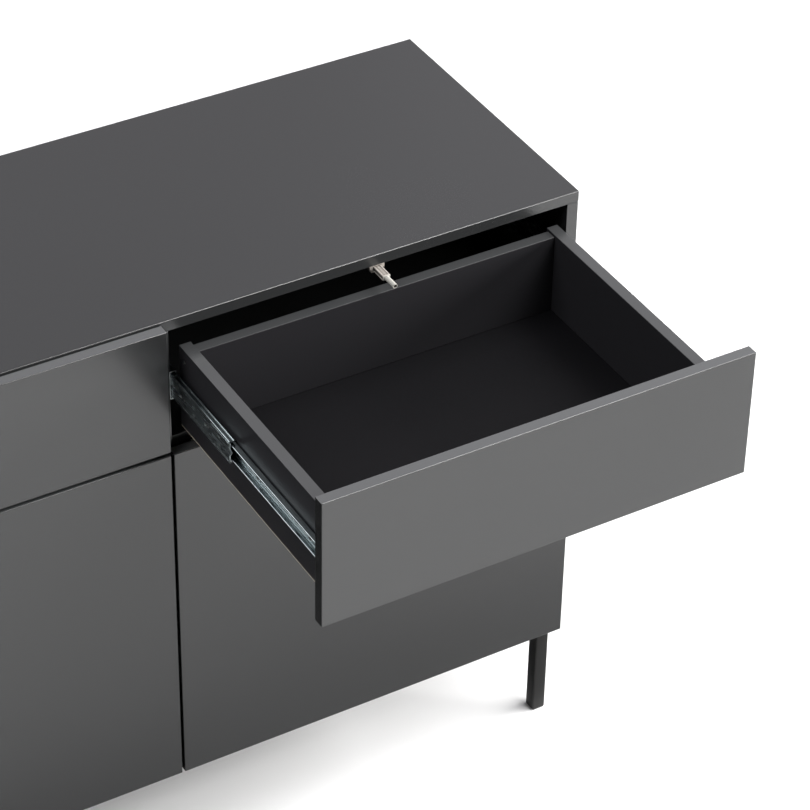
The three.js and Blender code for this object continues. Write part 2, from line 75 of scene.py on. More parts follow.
def linked(name, data):
    """A new object, linked to the scene."""
    made = bpy.data.objects.new(name, data)
    scene.collection.objects.link(made)
    return made


lens_data = bpy.data.cameras.new("catalogue_camera")
lens_data.sensor_width = 36.0
lens_data.lens = lens_in_widths * lens_data.sensor_width
lens_data.clip_end = 100.0
camera = linked("catalogue_camera", lens_data)
camera.matrix_world = (
    Matrix.Translation(camera_place)
    @ Matrix.Rotation(-camera_turn, 4, "Z")
    @ Matrix.Rotation(math.pi / 2 - camera_tilt, 4, "X")
    @ Matrix.Rotation(camera_roll, 4, "Z")
)
scene.camera = camera
print("Lens in mm:", round(lens_data.lens, 1))

# %% [markdown]
# ## Light
# Dark satin lacquer has almost no colour of its own: what the eye reads on it is the blurred
# reflection of its surroundings. So the studio is a wide white floor, a faint even sky and a
# ring of large soft panels. Each panel is placed where one set of faces mirrors it: those on the
# right light the fronts, those behind light the top and the upper edges, and the one on the left
# the inside of the drawer. Two smaller ones are glints, seen by gloss alone. They draw the
# bright lines along rounded edges and bent steel, and leave the flat faces as they are.

# %% Set up the soft panels
scene.view_settings.view_transform = "Standard"
studio_middle = Vector((0.2, -0.1, 0.6))
white = (1.0, 1.0, 1.0)
cool = (0.97, 0.98, 1.0)
violet = (0.97, 0.95, 1.0)
warm = (1.0, 0.99, 0.98)


def soft_panel(name, azimuth, elevation, distance, width, height, watts, tint):
    """A large area light that looks at the cabinet. Azimuth 0 is in front, 90 on the right."""
    data = bpy.data.lights.new(name, "AREA")
    data.shape = "RECTANGLE"
    data.size, data.size_y = width, height
    data.energy = watts
    data.color = tint
    light = linked(name, data)
    turn, lift = math.radians(azimuth), math.radians(elevation)
    flat = math.cos(lift)
    towards = Vector((math.sin(turn) * flat, -math.cos(turn) * flat, math.sin(lift)))
    light.location = studio_middle + distance * towards
    light.rotation_euler = (-towards).to_track_quat("-Z", "Y").to_euler()
    light.visible_camera = False
    light.visible_diffuse = not name.endswith("_glint")


# Name, azimuth, elevation, distance, width, height, watts and tint
panels = [
    ("low_right_panel", 75, 14, 4.5, 3.0, 1.5, 440, warm),
    ("front_right_panel", 35, 45, 4.5, 2.5, 2.5, 170, white),
    ("high_right_panel", 90, 50, 4.5, 3.0, 3.0, 60, white),
    ("high_left_panel", -90, 50, 4.5, 3.0, 3.0, 140, cool),
    ("back_left_panel", -150, 50, 5.0, 3.0, 3.0, 10, violet),
    ("back_right_panel", 150, 37, 5.0, 5.0, 3.5, 38, violet),
    ("far_right_panel", 139, 33, 5.3, 1.6, 1.6, 1.5, violet),
    ("edge_glint", 34, 43, 4.5, 1.2, 1.2, 120, white),
    ("slide_glint", -150, 38, 4.5, 2.0, 2.0, 30, white),
]
for panel in panels:
    soft_panel(*panel)
print("Panels and glints:", [name for name, *_ in panels])

# %% Hang the sky
sky_glow, sky_seen = 0.02, 1.0
sky = bpy.data.worlds.new("pale_sky")
scene.world = sky
sky.use_nodes = True
backdrop = sky.node_tree.nodes["Background"]
backdrop.inputs["Color"].default_value = (1.0, 1.0, 1.0, 1.0)
path = sky.node_tree.nodes.new("ShaderNodeLightPath")
level = sky.node_tree.nodes.new("ShaderNodeMapRange")
level.inputs["To Min"].default_value = sky_glow
level.inputs["To Max"].default_value = sky_seen
sky.node_tree.links.new(path.outputs["Is Camera Ray"], level.inputs["Value"])
sky.node_tree.links.new(level.outputs["Result"], backdrop.inputs["Strength"])
print("The sky glows at", sky_glow, "and the camera sees it at", sky_seen)

# %% [markdown]
# ## Materials: a small language for shader maths
# A material is a graph of nodes, and graphs are awkward to write as text. Two short classes
# make them read like arithmetic. A `Signal` is one output of a node, and adding or multiplying
# signals adds the Math nodes. A `Finish` owns the graph. Its method `node` makes any other node
# from its type, its settings and its inputs, and `surface` leads the results to the shader.

# %% Define signals and finishes
class Signal:
    """One output of a node, ready to stand in an expression."""

    def __init__(self, finish, socket):
        self.finish = finish
        self.socket = socket

    def maths(self, operation, first, second):
        return self.finish.node("ShaderNodeMath", {"operation": operation}, {0: first, 1: second})

    def __add__(self, other):
        return self.maths("ADD", self, other)

    def __radd__(self, other):
        return self.maths("ADD", other, self)

    def __sub__(self, other):
        return self.maths("SUBTRACT", self, other)

    def __rsub__(self, other):
        return self.maths("SUBTRACT", other, self)

    def __mul__(self, other):
        return self.maths("MULTIPLY", self, other)

    def __rmul__(self, other):
        return self.maths("MULTIPLY", other, self)


class Finish:
    """A material whose surface is one Principled shader."""

    def __init__(self, name, **constants):
        self.material = bpy.data.materials.new(name)
        self.material.use_nodes = True
        self.tree = self.material.node_tree
        self.shader = self.tree.nodes["Principled BSDF"]
        for socket, value in constants.items():
            self.shader.inputs[socket.replace("_", " ")].default_value = value
        self.place = self.node("ShaderNodeTexCoord", output="Object")

    def node(self, kind, settings=None, inputs=None, output=0):
        """A new node: its settings first, then the values or links of its sockets."""
        made = self.tree.nodes.new(kind)
        for key, value in (settings or {}).items():
            if key == "stops":
                ramp = made.color_ramp.elements
                while len(ramp) < len(value):
                    ramp.new(1.0)
                for stop, (position, level) in zip(ramp, value):
                    stop.position = position
                    stop.color = (level, level, level, 1.0)
            else:
                setattr(made, key, value)
        for key, value in (inputs or {}).items():
            if isinstance(value, Signal):
                self.tree.links.new(value.socket, made.inputs[key])
            else:
                made.inputs[key].default_value = value
        return Signal(self, made.outputs[output])

    def stretched(self, x, y, z):
        """Object coordinates scaled by a factor along each axis."""
        return self.node("ShaderNodeMapping", None, {"Vector": self.place, "Scale": (x, y, z)})

    def cloud(self, scale, detail=3.0, place=None):
        """Soft noise from 0 to 1, with scale features to the metre."""
        inputs = {"Vector": place or self.place, "Scale": scale, "Detail": detail}
        return self.node("ShaderNodeTexNoise", None, inputs)

    def steps(self, value, *stops):
        """A value sent through a ramp of (position, level) stops."""
        return self.node("ShaderNodeValToRGB", {"stops": stops}, {"Fac": value})

    def blend(self, factor, first, second):
        """A colour between two colours."""
        settings = {"data_type": "RGBA"}
        return self.node("ShaderNodeMix", settings, {0: factor, 6: first, 7: second}, output=2)

    def feed(self, socket, value):
        """Lets a signal drive one of the shader's sockets."""
        self.tree.links.new(value.socket, self.shader.inputs[socket])

    def surface(self, mix, low, high, roughness, height, depth):
        """A colour between two, a roughness, and bumps of a depth in metres."""
        inputs = {"Height": height, "Distance": depth, "Strength": 1.0}
        self.feed("Base Color", self.blend(mix, low, high))
        self.feed("Roughness", roughness)
        self.feed("Normal", self.node("ShaderNodeBump", None, inputs))
        return self.material


def grey(level, warmth=0.0, violet_cast=0.0):
    """A grey as a linear colour. Warmth adds red and takes blue, a violet cast takes green."""
    return (level * (1 + warmth), level * (1 - violet_cast), level * (1 - warmth), 1.0)


print("A warm grey as a linear colour:", grey(0.2, warmth=0.05))

# %% [markdown]
# ## The floor
# The floor is a sheet of white paper that lights the cabinet from below and carries its
# shadow. Far from the cabinet it fades into the white around it, for the camera only, so that
# no horizon shows from a low angle and the mirrored floor stays whole.

# %% Lay the studio floor
floor_half = 30.0
fade_start, fade_end = 2.4, 4.0


def mesh_of(name, shape):
    """A new mesh with a bmesh's shape. The bmesh is freed."""
    mesh = bpy.data.meshes.new(name)
    shape.to_mesh(mesh)
    shape.free()
    return mesh


floor_finish = Finish("studio_paper", Roughness=0.9)
paper = floor_finish.cloud(2.0)
floor_finish.feed("Base Color", floor_finish.blend(paper, grey(0.86), grey(0.9)))
from_middle = floor_finish.node(
    "ShaderNodeVectorMath", {"operation": "LENGTH"}, {0: floor_finish.place}, output="Value"
)
ranges = {"From Min": fade_start, "From Max": fade_end, "To Min": 1.0, "To Max": 0.0}
fade = floor_finish.node(
    "ShaderNodeMapRange", {"interpolation_type": "SMOOTHSTEP"}, {"Value": from_middle, **ranges}
)
seen = floor_finish.node("ShaderNodeLightPath", output="Is Camera Ray")
floor_finish.feed("Alpha", 1 - seen * (1 - fade))
floor_shape = bmesh.new()
bmesh.ops.create_grid(floor_shape, x_segments=1, y_segments=1, size=floor_half)
studio_floor = linked("studio_floor", mesh_of("studio_floor", floor_shape))
studio_floor.data.materials.append(floor_finish.material)
print("The floor fades from", fade_start, "to", fade_end, "metres from the middle")

# %% [markdown]
# ## Black flags
# A studio shapes gloss by what it mirrors. Faces that look to the left mirror the floor on the
# left, and would turn as bright as that floor, so a black card lies there: a flag. The fronts
# mirror the floor before the cabinet. A second card there grows denser towards the cabinet's
# foot and to the right, so that the doors darken downwards. Both cards are seen by glossy
# reflections only: the camera, the soft light and the shadows all ignore them.

# %% Lay the flags
flag_height = 0.002
greatest_density = 0.64


def flag(name, corners, density):
    """A card just over the floor. Its density is a number or changes over it: 1 is black."""
    shape = bmesh.new()
    shape.faces.new([shape.verts.new((x, y, flag_height)) for x, y in corners])
    made = linked(name, mesh_of(name, shape))
    card = Finish(f"{name}_card", Roughness=1.0, Specular_IOR_Level=0.0)
    card.shader.inputs["Base Color"].default_value = grey(0.0)
    if callable(density):
        card.feed("Alpha", density(card))
    else:
        card.shader.inputs["Alpha"].default_value = density
    made.data.materials.append(card.material)
    for ray in ("camera", "diffuse", "transmission", "volume_scatter", "shadow"):
        setattr(made, f"visible_{ray}", False)


def foot_density(card):
    """Denser towards the cabinet, most of all close to it, and to the right up to a limit."""
    parts = card.node("ShaderNodeSeparateXYZ", None, {0: card.place})
    across, along = parts, Signal(card, parts.socket.node.outputs["Y"])
    near = along.maths("POWER", 403.0, along)
    limit = along.maths("MAXIMUM", 0.35, -1.5 - 2.2 * along)
    rightwards = across.maths("MINIMUM", across, limit)
    dense = 0.41 + 0.40 * (rightwards + along) + (1.28 - 0.8 * across) * near
    limits = {"Min": 0.0, "Max": greatest_density}
    return card.node("ShaderNodeClamp", None, {"Value": dense, **limits})


left_corners = [(-0.62, -0.02), (-0.45, -0.3), (-0.30, -0.9), (-0.45, -1.6), (-1.2, -2.2)]
left_corners += [(-3.5, -2.2), (-3.5, 3.0), (0.56, 3.0), (0.56, 0.0)]
flag("left_flag", left_corners, 0.95)
flag("front_flag", [(-1.0, -2.2), (2.2, -2.2), (2.2, -0.03), (-0.6, -0.03)], foot_density)
print("The front flag is at most", greatest_density, "dense")

# %% [markdown]
# ## The finishes
# The boards carry a satin graphite lacquer. Up close it has a pearl of about a millimetre, and
# over a whole board its gloss drifts a little, which is what keeps a large dark face alive. The
# drawer boxes are wrapped in a duller foil with fine pores along the board. The thin sheets are
# hardboard: the drawer floor is embossed like fine leather, and the back is matt and fibrous.

# %% Mix the board finishes
def satin_lacquer(name, level, gloss, shine=0.75):
    finish = Finish(name, Specular_IOR_Level=shine)
    drift = finish.cloud(3.0, detail=2.0)
    pearl = finish.cloud(900.0, detail=2.0)
    speck = finish.steps(finish.cloud(260.0, detail=1.0), (0.70, 0.0), (0.78, 1.0))
    tone = finish.blend(drift, grey(level * 0.93, -0.02), grey(level * 1.07, -0.035))
    flake, roughness = grey(level * 1.7, -0.02), gloss + 0.05 * drift + 0.03 * pearl
    return finish.surface(0.12 * speck, tone, flake, roughness, pearl, 0.000004)


def box_foil(name, level, gloss):
    finish = Finish(name, Specular_IOR_Level=0.15)
    drift = finish.cloud(4.0, detail=2.0)
    pores = finish.cloud(1.0, detail=3.0, place=finish.stretched(240.0, 60.0, 900.0))
    low, high = grey(level * 0.88, -0.04, 0.07), grey(level * 1.1, -0.04, 0.07)
    roughness = gloss + 0.06 * drift + 0.06 * pores
    return finish.surface(pores, low, high, roughness, pores, 0.000015)


def embossed_sheet(name, level):
    finish = Finish(name, Specular_IOR_Level=0.12)
    cells = finish.node(
        "ShaderNodeTexVoronoi", {"feature": "DISTANCE_TO_EDGE"},
        {"Vector": finish.place, "Scale": 520.0, "Randomness": 0.9},
    )
    # The grooves between the cells are darker in colour: painted shade in the creases.
    hide = finish.steps(cells, (0.0, 0.0), (0.25, 1.0))
    drift = finish.cloud(5.0)
    low, high = grey(level * 0.75, -0.06, 0.1), grey(level * 1.15, -0.06, 0.1)
    return finish.surface(0.7 * hide + 0.3 * drift, low, high, 0.62 - 0.1 * hide, hide, 0.00004)


def hardboard(name, level):
    finish = Finish(name, Specular_IOR_Level=0.3)
    fibres = finish.cloud(1.0, detail=4.0, place=finish.stretched(180.0, 400.0, 420.0))
    low, high = grey(level * 0.7), grey(level * 1.3)
    return finish.surface(fibres, low, high, 0.72 + 0.12 * fibres, fibres, 0.00006)


def chipboard(name):
    finish = Finish(name, Specular_IOR_Level=0.2)
    chips = finish.cloud(700.0, detail=3.0)
    glue = finish.cloud(220.0, detail=2.0)
    dark, pale = (0.25, 0.22, 0.17, 1), (0.46, 0.42, 0.35, 1)
    return finish.surface(0.6 * chips + 0.4 * glue, dark, pale, 0.7 + 0.15 * chips, chips, 0.00008)


lacquer = satin_lacquer("graphite_satin_lacquer", 0.018, 0.22)
# Copies of one band colour for the narrow faces, by the way they face: lighter on top and a little
# lighter in front, painted highlight; darker on the other faces, painted shade.
edge_band_painted_shade = satin_lacquer("graphite_edge_band_painted_shade", 0.010, 0.20, shine=0.5)
front_band_painted_highlight = satin_lacquer("graphite_front_edge_band_painted_highlight", 0.024, 0.22, shine=0.7)
top_band_painted_highlight = satin_lacquer("graphite_top_edge_band_painted_highlight", 0.075, 0.22, shine=1.0)
box_top_band_painted_highlight = satin_lacquer("graphite_box_top_band_painted_highlight", 0.045, 0.26, shine=0.85)
foil = box_foil("graphite_box_foil", 0.019, 0.36)
leather_sheet = embossed_sheet("embossed_drawer_floor", 0.007)
back_board = hardboard("fibrous_back_board", 0.05)
raw_board = chipboard("raw_chipboard")
print("Board finishes:", [m.name for m in (lacquer, foil, leather_sheet, back_board)])

# %% [markdown]
# ## Metals and plastics
# Zinc on the slides is a mottled coat: crystals of different greys with a hint of green, under
# fine lines from rolling. Nickel on the hinges is smoother and warmer. The legs have a fine
# black powder coat, and the latches are moulded in a warm grey plastic.

# %% Mix the metals and plastics
def zinc_coat(name, dull, bright, gloss):
    finish = Finish(name, Metallic=1.0)
    drawn_out = finish.stretched(1.0, 0.08, 1.0)
    crystal = finish.node(
        "ShaderNodeTexVoronoi", None, {"Vector": drawn_out, "Scale": 520.0}, output="Color"
    )
    facet = finish.node("ShaderNodeSeparateColor", None, {0: crystal})
    rolled = finish.cloud(1.0, detail=3.0, place=finish.stretched(900.0, 14.0, 900.0))
    mottle = 0.6 * facet + 0.4 * finish.cloud(45.0, detail=3.0)
    roughness = gloss + 0.08 * facet + 0.06 * rolled
    return finish.surface(mottle, dull, bright, roughness, rolled, 0.000003)


def plated(name, dull, bright, gloss):
    finish = Finish(name, Metallic=1.0)
    stain = finish.cloud(160.0, detail=4.0)
    grain = finish.cloud(1.0, detail=2.0, place=finish.stretched(1200.0, 1200.0, 60.0))
    roughness = gloss + 0.1 * stain + 0.08 * grain
    return finish.surface(stain, dull, bright, roughness, grain, 0.000004)


def powder_coat(name, level):
    finish = Finish(name, Specular_IOR_Level=0.3)
    peel = finish.cloud(1100.0, detail=3.0)
    wear = finish.cloud(60.0, detail=4.0)
    low, high = grey(level * 0.8, 0.02), grey(level * 1.3, 0.02)
    return finish.surface(peel, low, high, 0.38 + 0.12 * peel + 0.06 * wear, peel, 0.00003)


def moulded(name, dark, light):
    finish = Finish(name, Specular_IOR_Level=0.45)
    skin = finish.cloud(2600.0, detail=2.0)
    flow = finish.cloud(1.0, detail=2.0, place=finish.stretched(380.0, 45.0, 380.0))
    roughness = 0.42 + 0.1 * skin + 0.05 * flow
    return finish.surface(0.4 * skin + 0.6 * flow, dark, light, roughness, skin, 0.00001)


zinc = zinc_coat("mottled_zinc", (0.24, 0.30, 0.31, 1), (0.62, 0.69, 0.71, 1), 0.17)
# Copies of the zinc for cut ends: darker on the middle and drawer members, painted shade, and much
# lighter on the cabinet member and the clip, painted highlight.
cut_zinc_painted_shade = zinc_coat("cut_zinc_edge_painted_shade", (0.20, 0.22, 0.22, 1), (0.42, 0.45, 0.45, 1), 0.30)
# A lighter, glossier copy of the zinc for the drawer member's flanges and bends: painted
# highlight.
zinc_painted_highlight = zinc_coat("zinc_painted_highlight", (0.34, 0.40, 0.42, 1), (0.62, 0.69, 0.71, 1), 0.12)
sheared_zinc_painted_highlight = zinc_coat("sheared_zinc_end_painted_highlight", (0.70, 0.74, 0.75, 1), (0.90, 0.93, 0.94, 1), 0.5)
# A darker copy of the zinc for the drawer member's web: painted shade.
web_zinc_painted_shade = zinc_coat("zinc_web_painted_shade", (0.10, 0.13, 0.14, 1), (0.27, 0.32, 0.33, 1), 0.18)
nickel = plated("warm_nickel", (0.48, 0.46, 0.43, 1), (0.68, 0.66, 0.62, 1), 0.18)
screw_steel = plated("screw_steel", (0.42, 0.43, 0.43, 1), (0.75, 0.75, 0.74, 1), 0.2)
powder = powder_coat("black_powder_coat", 0.010)
latch_grey = moulded("latch_plastic", (0.30, 0.27, 0.24, 1), (0.40, 0.365, 0.33, 1))
carriage_grey = moulded("latch_carriage_plastic", (0.34, 0.31, 0.28, 1), (0.46, 0.42, 0.385, 1))
nose_grey = moulded("latch_nose_plastic", (0.34, 0.33, 0.30, 1), (0.44, 0.43, 0.39, 1))
# Near black plastic for the latch's side grooves and the nose's hole: painted shade.
groove_painted_shade = moulded("latch_groove_painted_shade", (0.06, 0.055, 0.05, 1), (0.10, 0.09, 0.08, 1))
plug_black = moulded("foot_plug_plastic", (0.016, 0.016, 0.016, 1), (0.028, 0.028, 0.027, 1))
print("Metals and plastics:", [m.name for m in (zinc, nickel, screw_steel, powder)])

# %% [markdown]
# ## From shape to piece
# Each piece is a bmesh that ends as an object at the origin, with its place in its vertices, as
# the CAD nodes have. `dress` does that last step for all of them: it makes the object, lets it
# ride on its CAD body, and hides the CAD nodes that it stands for.

# %% Define how a shape becomes a piece
flat_within, crease, shading_crease = (math.radians(angle) for angle in (0.5, 30, 32))
merge_distance = 0.01 * mm
node_body = {}
for body_name, node_names in frame["record"]["behaviour"]["bodies"].items():
    for node_name in node_names:
        node_body[node_name] = body_name


def dress(name, shape, materials, nodes=(), body=None, smooth=True):
    """Turns a shape into a finished piece. The first node gives its body."""
    bmesh.ops.recalc_face_normals(shape, faces=shape.faces)
    if shape.calc_volume(signed=True) < 0.0:
        bmesh.ops.reverse_faces(shape, faces=shape.faces)
    mesh = mesh_of(name, shape)
    for material in materials if isinstance(materials, list) else [materials]:
        mesh.materials.append(material)
    if smooth:
        mesh.shade_smooth()
        mesh.set_sharp_from_angle(angle=shading_crease)
    piece = linked(name, mesh)
    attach(piece, body or node_body[nodes[0]])
    if nodes:
        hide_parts(*nodes)


def ease(shape, corners, radius, segments, affect="EDGES"):
    """Rounds edges, or a wire's corners, by a radius in metres."""
    bmesh.ops.bevel(
        shape, geom=corners, offset=radius, offset_type="OFFSET", segments=segments,
        profile=0.5, affect=affect, clamp_overlap=True, material=-1,
    )


def eased_copy(node, radius, segments=6):
    """A merged copy of a CAD node, its flat faces whole again and its sharp edges rounded."""
    shape = bmesh.new()
    shape.from_mesh(frame["nodes"][node].data)
    bmesh.ops.remove_doubles(shape, verts=shape.verts, dist=merge_distance)
    bmesh.ops.dissolve_limit(shape, angle_limit=flat_within, verts=shape.verts, edges=shape.edges)
    ease(shape, [e for e in shape.edges if e.calc_face_angle(0.0) > crease], radius, segments)
    return shape


def block(low, high):
    """A box between two corners."""
    shape = bmesh.new()
    size = [high[i] - low[i] for i in range(3)]
    middle = [(high[i] + low[i]) / 2 for i in range(3)]
    matrix = Matrix.Translation(middle) @ Matrix.Diagonal((*size, 1.0))
    bmesh.ops.create_cube(shape, size=1.0, matrix=matrix)
    return shape


print("Bodies:", sorted(set(node_body.values())))

# %% [markdown]
# ## Cuts and turned parts
# Holes, slots and crosses are cut by a Boolean modifier, as a drill or a punch would. The
# modifier is applied at once, so a finished piece carries plain mesh. Pins and screws start as
# a drum that is turned to its place.

# %% Define cuts and joins
def worked(shape, cutter=None, thickness=None):
    """The shape after an applied Solidify, an applied Boolean cut, or both."""
    parts = [part for part in (shape, cutter) if part]
    objects = [linked("worked_part", mesh_of("worked_part", part)) for part in parts]
    body = objects[0]
    if thickness:
        solidify = body.modifiers.new("sheet", "SOLIDIFY")
        solidify.thickness = thickness
        solidify.offset = 0.0
        solidify.use_even_offset = True
    if cutter:
        boolean = body.modifiers.new("cut", "BOOLEAN")
        boolean.operation = "DIFFERENCE"
        boolean.solver = "EXACT"
        boolean.object = objects[1]
    bpy.context.view_layer.update()
    evaluated = body.evaluated_get(bpy.context.evaluated_depsgraph_get())
    left = bmesh.new()
    left.from_mesh(evaluated.to_mesh())
    evaluated.to_mesh_clear()
    for made in objects:
        mesh = made.data
        bpy.data.objects.remove(made)
        bpy.data.meshes.remove(mesh)
    return left


def joined(*shapes):
    """One bmesh that holds several shells."""
    whole = bmesh.new()
    for shape in shapes:
        mesh = mesh_of("joined_part", shape)
        whole.from_mesh(mesh)
        bpy.data.meshes.remove(mesh)
    return whole


print("Cuts and joins are ready")

# %% Define turned parts
def drum(diameter, low, high, segments):
    """A closed cylinder on the z axis, from one height to another."""
    shape = bmesh.new()
    bmesh.ops.create_cone(
        shape, cap_ends=True, segments=segments, radius1=diameter / 2, radius2=diameter / 2,
        depth=high - low, matrix=Matrix.Translation((0.0, 0.0, (low + high) / 2)),
    )
    return shape


def placed(shape, place, direction, turn=0):
    """Turns a shape's own z axis along a direction and puts its origin at a place."""
    lean = Vector(direction).to_track_quat("Z", "Y").to_matrix().to_4x4()
    spin = Matrix.Rotation(math.radians(turn), 4, "Z")
    shape.transform(Matrix.Translation(place) @ lean @ spin)
    return shape


def flat_edges(shape, place, axis=2):
    """The edges that lie wholly at one place on an axis."""
    return [
        e for e in shape.edges if all(abs(v.co[axis] - place) < merge_distance for v in e.verts)
    ]


def long_edges(shape, axis):
    """The edges that run along an axis."""
    runs = [(edge, edge.verts[1].co - edge.verts[0].co) for edge in shape.edges]
    return [edge for edge, run in runs if abs(run[axis]) > 0.99 * run.length]


print("Turned parts are ready")

# %% [markdown]
# ## The boards
# A cut board has its edges banded, and the band is trimmed with a radius of about a millimetre.
# That tiny round is the bright line along every edge of the cabinet, so it is modelled, not
# painted. The copies keep the grooves and bores that the boards have in the CAD. Each narrow
# face is its own strip of band, in a copy of the band's colour set by the way it faces: much
# lighter on top and a little lighter in front, a painted highlight, and darker on the others, a
# painted shade. Under the drawer's sides the chipboard is left raw.

# %% Share out the bands
band_painted_shade_skin, top_painted_highlight_skin, front_painted_highlight_skin, raw_skin = 1, 2, 3, 4


def band_edges(shape, raw_strip=0.0):
    """Gives a board's narrow faces their bands, lighter on top and in front, a painted highlight,
    and darker elsewhere, a painted shade. Leaves a strip along its bottom raw.
    """
    raw_top = min(v.co.z for v in shape.verts) + raw_strip
    if raw_strip:
        whole = shape.verts[:] + shape.edges[:] + shape.faces[:]
        bmesh.ops.bisect_plane(shape, geom=whole, plane_co=(0, 0, raw_top), plane_no=(0, 0, 1))
    sizes = []
    for axis in range(3):
        places = [v.co[axis] for v in shape.verts]
        sizes.append(max(places) - min(places))
    across = sizes.index(min(sizes))
    for face in shape.faces:
        if raw_strip and face.calc_center_median().z < raw_top:
            face.material_index = raw_skin
        elif abs(face.normal[across]) >= 0.5:
            continue
        # Narrow faces that look up or forward take the lighter copies, a painted highlight; the
        # rest take the darker one, a painted shade.
        elif face.normal.z > 0.5:
            face.material_index = top_painted_highlight_skin
        else:
            face.material_index = front_painted_highlight_skin if face.normal.y < -0.5 else band_painted_shade_skin


print("Skins of the bands:", [band_painted_shade_skin, top_painted_highlight_skin, front_painted_highlight_skin])

# %% [markdown]
# The uprights are drilled every 32 mm with blind holes, above and below the pins that an
# adjustable shelf rests on. The drill is a drum, and all the holes of a board are cut at once.

# %% Drill the rows of shelf holes
pin_inset, pin_reach, pin_drop = 37 * mm, 9 * mm, 2.8 * mm
hole_pitch, hole_depth, hole_diameter, holes_each_way = 32 * mm, 7 * mm, 5 * mm, 3
drill_overshoot = 1 * mm


def pin_places(column):
    """The height and the two depths of the pins at each end of an adjustable shelf."""
    low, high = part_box(f"{column}_adjustable_shelf")
    return low.z - pin_drop, (low.y + pin_inset, high.y - pin_inset)


def shelf_faces(column):
    """The two faces that hold a shelf: the board, the face's x, and the way out of the board."""
    side = 1 if column == "right" else -1
    low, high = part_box(f"{column}_side_panel")
    outer = low.x + pin_reach if side > 0 else high.x - pin_reach
    inner = side * (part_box("centre_partition")[1].x - pin_reach)
    return [(f"{column}_side_panel", outer, -side), ("centre_partition", inner, side)]


def drill_shelf_holes(board, node):
    """Rows of blind holes above and below the pins, with raw chipboard inside them."""
    drills, axes = [], []
    for column in columns:
        pin_z, depths = pin_places(column)
        for holder, face_x, outwards in shelf_faces(column):
            if holder != node:
                continue
            for step in range(-holes_each_way, holes_each_way + 1):
                for depth in depths if step else ():
                    place = (face_x, depth, pin_z + step * hole_pitch)
                    drill = drum(hole_diameter, -hole_depth, drill_overshoot, segments=20)
                    drills.append(placed(drill, place, (outwards, 0.0, 0.0)))
                    axes.append(place[1:])
    board = worked(board, joined(*drills))
    for face in board.faces:
        middle = face.calc_center_median()
        if any(math.dist((middle.y, middle.z), axis) < 0.55 * hole_diameter for axis in axes):
            face.material_index = raw_skin
    return board


print("The rows reach", holes_each_way * hole_pitch, "metres above and below the pins")

# %% Dress the boards
edge_radius, box_edge_radius = 1.1 * mm, 0.9 * mm
box_raw_strip = 1.7 * mm
board_ends = ("top_panel", "bottom_panel", "fixed_shelf", "adjustable_shelf", "partition")
board_ends += ("side_panel", "door", "drawer_front")
boards = [node for end in board_ends for node in frame["nodes"] if node.endswith(end)]
box_ends = ("left_side", "right_side", "back")
box_parts = [f"{column}_drawer_{end}" for column in columns for end in box_ends]
# The band skins are light and dark copies of one colour: painted highlight on top and in front,
# painted shade on the other narrow faces.
for node in boards:
    board = eased_copy(node, edge_radius)
    band_edges(board)
    if node.endswith(("_side_panel", "_partition")):
        board = drill_shelf_holes(board, node)
    skins = [lacquer, edge_band_painted_shade, top_band_painted_highlight, front_band_painted_highlight, raw_board]
    dress(f"{node}_board", board, skins, [node], smooth=False)
for node in box_parts:
    board = eased_copy(node, box_edge_radius)
    band_edges(board, raw_strip=0.0 if node.endswith("back") else box_raw_strip)
    skins = [foil, edge_band_painted_shade, box_top_band_painted_highlight, front_band_painted_highlight, raw_board]
    dress(f"{node}_board", board, skins, [node], smooth=False)
print("Boards:", len(boards), "and in the drawers:", len(box_parts))

# %% Give the other CAD nodes their materials
node_finishes = {
    "drawer_floor": leather_sheet, "back_panel": back_board, "slide": zinc, "hinge": nickel,
    "leg": powder, "housing": latch_grey, "plunger": carriage_grey,
}
for name, node in frame["nodes"].items():
    for word, material in node_finishes.items():
        if word in name:
            node.data.materials[0] = material
print("Node names that have a finish:", list(node_finishes))

# %% [markdown]
# ## Fasteners
# Every slide, hinge and leg is held by screws, and a screw is the small bright thing that tells
# the eye how large everything else is. One head is made once: a turned pan with a rounded rim,
# and a cross driven into it by two crossed bars.

# %% Make the screw heads
def screw_head_mesh(diameter, height):
    head = drum(diameter, -0.3 * height, height, segments=28)
    ease(head, flat_edges(head, height), 0.55 * height, segments=4)
    arm, width = 0.6 * diameter, 0.15 * diameter
    low, high = 0.35 * height, 2 * height
    across = block((-arm / 2, -width / 2, low), (arm / 2, width / 2, high))
    along = block((-width / 2, -arm / 2, low), (width / 2, arm / 2, high))
    return mesh_of("screw_head", worked(worked(head, across), along))


screw_small = screw_head_mesh(diameter=6.4 * mm, height=1.4 * mm)
screw_large = screw_head_mesh(diameter=8.6 * mm, height=2.2 * mm)
first_turn, next_turn = 20, 37


def screws(name, heads, body):
    """One piece made of screw heads; each head is (mesh, place, direction)."""
    shapes = []
    for number, (mesh, place, direction) in enumerate(heads):
        one = bmesh.new()
        one.from_mesh(mesh)
        shapes.append(placed(one, place, direction, turn=first_turn + next_turn * number))
    dress(name, joined(*shapes), screw_steel, body=body)


print("Screw head faces:", len(screw_small.polygons))

# %% [markdown]
# ## The telescopic slides
# A slide is three channels of bent zinc sheet, one inside the other, with rows of steel balls
# between them. The section of each is drawn as a bent line and its corners are rounded. The
# line is drawn out along the drawer's travel and then given the sheet's thickness. Its slight
# folds are grooves and beads, which draw the thin parallel lines along the slide.

# %% Bend a channel
sheet = 1.2 * mm
half_sheet = sheet / 2
least_corner = math.radians(65)


